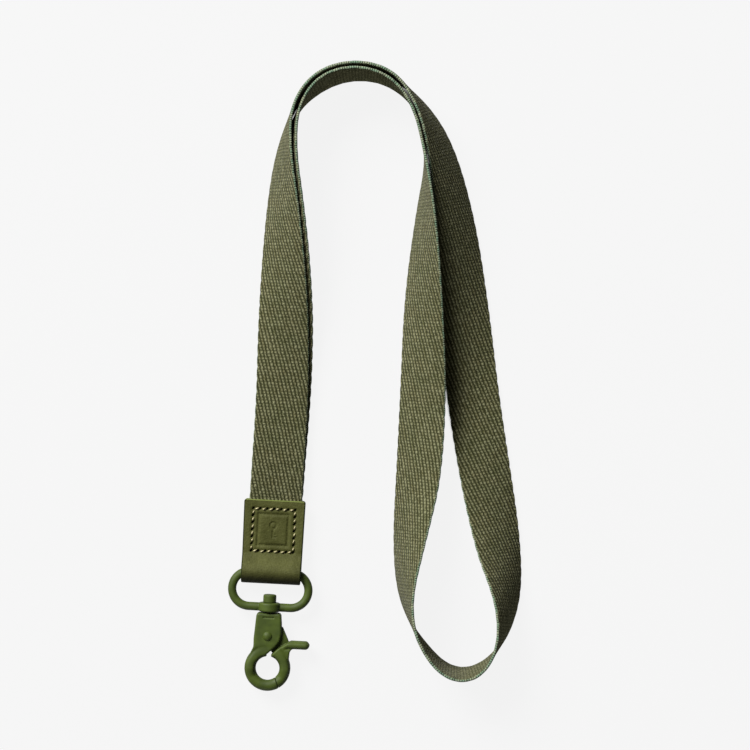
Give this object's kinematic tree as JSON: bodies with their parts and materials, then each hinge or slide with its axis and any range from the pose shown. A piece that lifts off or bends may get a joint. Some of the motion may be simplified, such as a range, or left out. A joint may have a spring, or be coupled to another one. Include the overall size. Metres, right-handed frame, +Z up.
{
  "type": "neck lanyard",
  "caption": "Neck lanyard: a looped flat webbing strap sewn into a leather patch, with an oval ring and a swivelling trigger snap hook.",
  "frame": {"origin": "on the surface the lanyard lies on, under the middle of the hardware (patch, ring and hook)", "axes": "+X along the ring's bar towards the thumb lever's side, +Y from the hook towards the leather patch and up the strap, +Z up from the surface"},
  "size_m": [0.113, 0.2405, 0.0204],
  "materials": {
    "webbing": "woven, matte",
    "leather": "smooth, satin",
    "top_thread": "waxed",
    "under_thread": "waxed",
    "ring_paint": "satin",
    "stud_paint": "satin",
    "clasp_paint": "satin",
    "trigger_paint": "satin",
    "pin_paint": "satin",
    "spring_steel": "bright"
  },
  "bodies": {
    "strap": {"webbing_strap": "webbing", "leather_wrap": "leather", "needle_thread": "top_thread", "bobbin_thread": "under_thread"},
    "ring": {"swivel_ring": "ring_paint"},
    "clasp": {"swivel_stud": "stud_paint", "clasp_body": "clasp_paint", "trigger_pin": "pin_paint", "trigger_spring": "spring_steel"},
    "trigger": {"trigger_lever": "trigger_paint"}
  },
  "joints": [
    {"name": "ring_hinge", "type": "hinge", "parent": "strap", "child": "ring", "pos_m": [0, 0.009, 0.0045], "axis": [-1, 0, 0], "range_deg": [-130, 130]},
    {"name": "swivel", "type": "hinge", "parent": "ring", "child": "clasp", "pos_m": [0, -0.0044, 0.0045], "axis": [0, 1, 0], "continuous": true},
    {"name": "trigger_pivot", "type": "hinge", "parent": "clasp", "child": "trigger", "pos_m": [0, -0.0153, 0.0045], "axis": [0, 0, 1], "range_deg": [0, 25], "stiffness_Nm_per_rad": 0.02, "springref_deg": -20.05, "deforming": ["trigger_spring"]}
  ]
}
